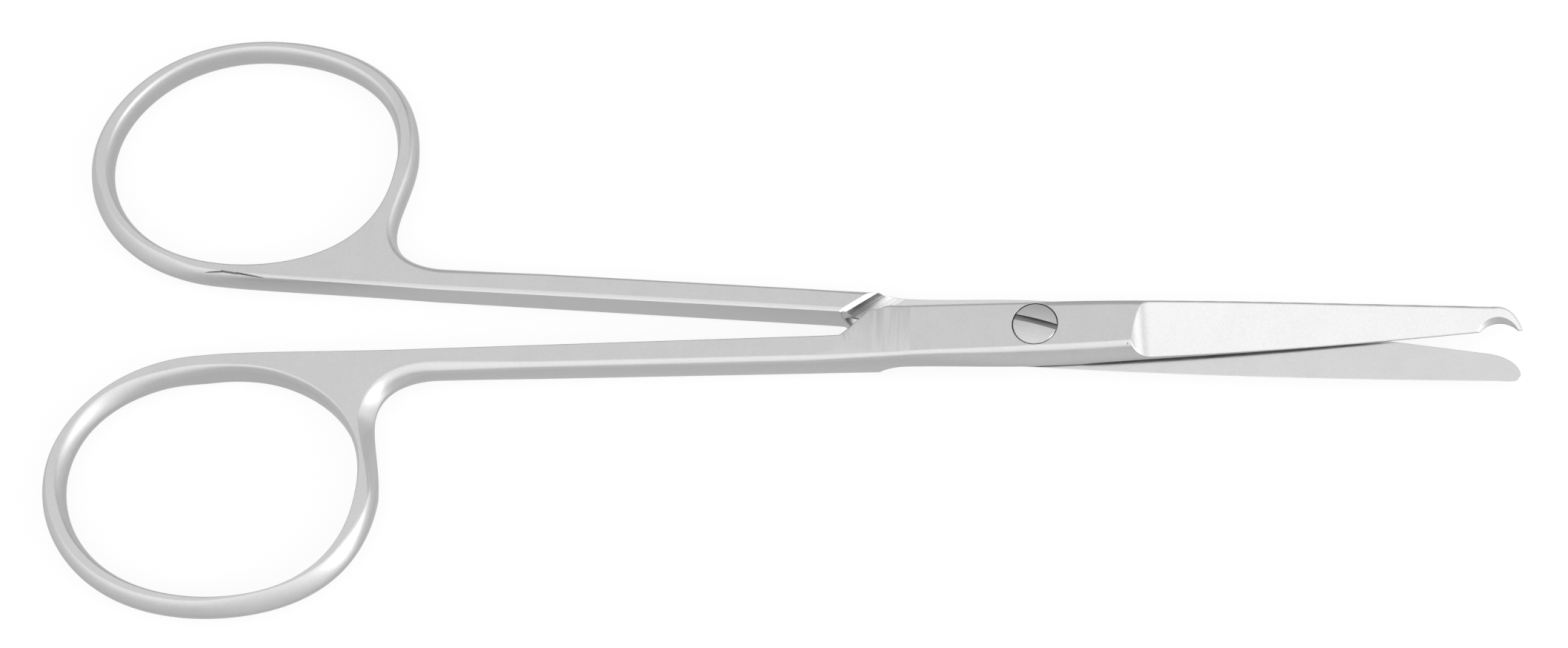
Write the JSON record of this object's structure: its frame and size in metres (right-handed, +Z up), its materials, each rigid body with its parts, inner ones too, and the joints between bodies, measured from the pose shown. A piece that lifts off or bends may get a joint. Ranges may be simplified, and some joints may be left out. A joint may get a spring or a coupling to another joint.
{
  "type": "suture scissors",
  "caption": "Slim steel suture scissors with oval finger rings, a screwed lap joint and a blade that ends in a round hook notch for lifting a stitch.",
  "frame": {"origin": "on the pivot's axis, on the lower face of the joint and screw that the scissors lie on", "axes": "+X along the middle line of the slightly open blades towards the tips, +Z up along the pivot's axis towards the screw's slotted head"},
  "size_m": [0.1289, 0.0573, 0.0039],
  "materials": {
    "plain_steel": "satin",
    "hook_steel": "satin, with a brighter ground blade",
    "screw_steel": "turned"
  },
  "bodies": {
    "lower_half": {"plain_half": "plain_steel", "pivot_screw": "screw_steel"},
    "upper_half": {"hook_half": "hook_steel"}
  },
  "joints": [
    {"name": "pivot", "type": "hinge", "parent": "lower_half", "child": "upper_half", "pos_m": [0, 0, 0.00185], "axis": [0, 0, 1], "range_deg": [-5.4, 74.6]}
  ]
}
